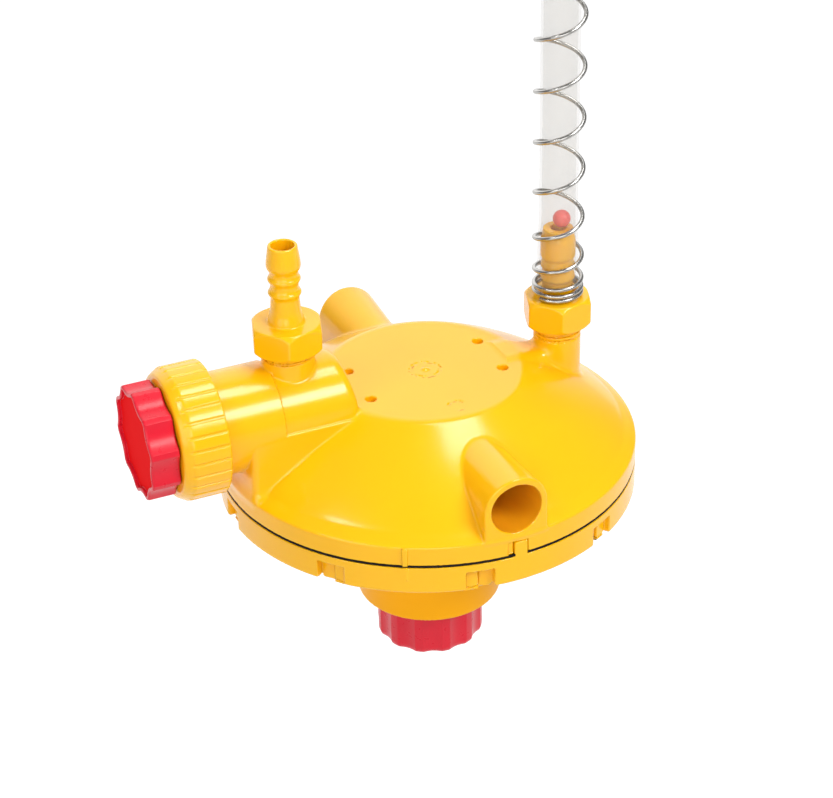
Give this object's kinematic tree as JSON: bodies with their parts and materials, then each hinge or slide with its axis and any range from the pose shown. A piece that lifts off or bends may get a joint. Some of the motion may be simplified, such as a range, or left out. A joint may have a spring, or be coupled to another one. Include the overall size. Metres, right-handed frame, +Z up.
{
  "type": "drinker line water pressure regulator",
  "caption": "Yellow plastic low-pressure water regulator with dome cover, red knobs, hose tail inlet, two line outlets and a spring-stiffened sight tube.",
  "frame": {"origin": "where the axis through the two line outlets crosses the axis of the round body", "axes": "+Z up along the body's axis, +X towards the sight tube, -X towards the union nut and the flush knob, Y along the outlet line"},
  "size_m": [0.183, 0.1504, 0.401],
  "materials": {
    "yellow_plastic": "moulded gloss, the flat top finer and paler",
    "red_plastic": "moulded satin gloss",
    "white_plastic": "moulded, plain",
    "clear_tube": "soft translucent tube",
    "rubber": "matt black",
    "steel": "bright drawn wire and pressed sheet"
  },
  "bodies": {
    "housing": {"upper_cover": "yellow_plastic", "lower_cover": "yellow_plastic", "diaphragm": "rubber", "lever_bracket": "steel", "lever_pin": "steel", "bracket_screw_front": "steel", "bracket_screw_rear": "steel", "valve_seat": "white_plastic", "poppet_spring": "steel", "valve_strainer": "white_plastic", "flush_seat_ring": "white_plastic", "flush_bonnet": "yellow_plastic", "bonnet_o_ring": "rubber", "union_nut": "yellow_plastic", "hose_tail": "yellow_plastic", "hose_tail_washer": "rubber", "tube_fitting": "yellow_plastic", "tube_fitting_washer": "rubber", "sight_tube": "clear_tube", "tube_spring": "steel", "breather_cap": "red_plastic", "adjusting_spring": "steel"},
    "diaphragm_centre": {"diaphragm_upper_plate": "white_plastic", "diaphragm_lower_plate": "steel", "diaphragm_stem": "white_plastic"},
    "valve_lever": {"valve_lever": "white_plastic"},
    "inlet_poppet": {"poppet": "white_plastic", "poppet_seal": "rubber"},
    "spring_seat": {"spring_seat": "white_plastic"},
    "adjusting_knob": {"adjusting_knob": "red_plastic", "adjusting_screw": "red_plastic"},
    "flush_plug": {"flush_plug": "white_plastic", "flush_washer": "rubber"},
    "flush_knob": {"flush_knob": "red_plastic", "flush_spindle": "white_plastic", "spindle_o_ring": "rubber"},
    "float_ball": {"float_ball": "red_plastic"}
  },
  "joints": [
    {"name": "diaphragm_slide", "type": "slide", "parent": "housing", "child": "diaphragm_centre", "axis": [0, 0, 1], "range_m": [-0.004, 0], "stiffness_N_per_m": 800, "springref_m": 0.01, "deforming": ["diaphragm"]},
    {"name": "lever_hinge", "type": "hinge", "parent": "housing", "child": "valve_lever", "pos_m": [-0.022, 0, -0.001], "axis": [0, 1, 0], "range_deg": [0, 10.42]},
    {"name": "poppet_slide", "type": "slide", "parent": "housing", "child": "inlet_poppet", "axis": [1, 0, 0], "range_m": [0, 0.00135]},
    {"name": "spring_seat_slide", "type": "slide", "parent": "housing", "child": "spring_seat", "axis": [0, 0, 1], "range_m": [-0.005, 0.006], "deforming": ["adjusting_spring"]},
    {"name": "pressure_knob_turn", "type": "hinge", "parent": "spring_seat", "child": "adjusting_knob", "pos_m": [0, 0, -0.08], "axis": [0, 0, 1], "range_deg": [-600, 720]},
    {"name": "flush_plug_slide", "type": "slide", "parent": "housing", "child": "flush_plug", "axis": [1, 0, 0], "range_m": [-0.006, 0]},
    {"name": "flush_knob_turn", "type": "hinge", "parent": "flush_plug", "child": "flush_knob", "pos_m": [-0.1, 0, 0.0128], "axis": [1, 0, 0], "range_deg": [-720, 0]},
    {"name": "float_ball_rise", "type": "slide", "parent": "housing", "child": "float_ball", "axis": [0, 0, 1], "range_m": [0, 0.22]}
  ],
  "couplings": [
    {"joint": "lever_hinge", "follows": "diaphragm_slide", "rad_per_m": -45.455},
    {"joint": "poppet_slide", "follows": "diaphragm_slide", "ratio": -0.33636},
    {"joint": "spring_seat_slide", "follows": "pressure_knob_turn", "m_per_rad": 0.00047746},
    {"joint": "flush_plug_slide", "follows": "flush_knob_turn", "m_per_rad": 0.00047746}
  ]
}
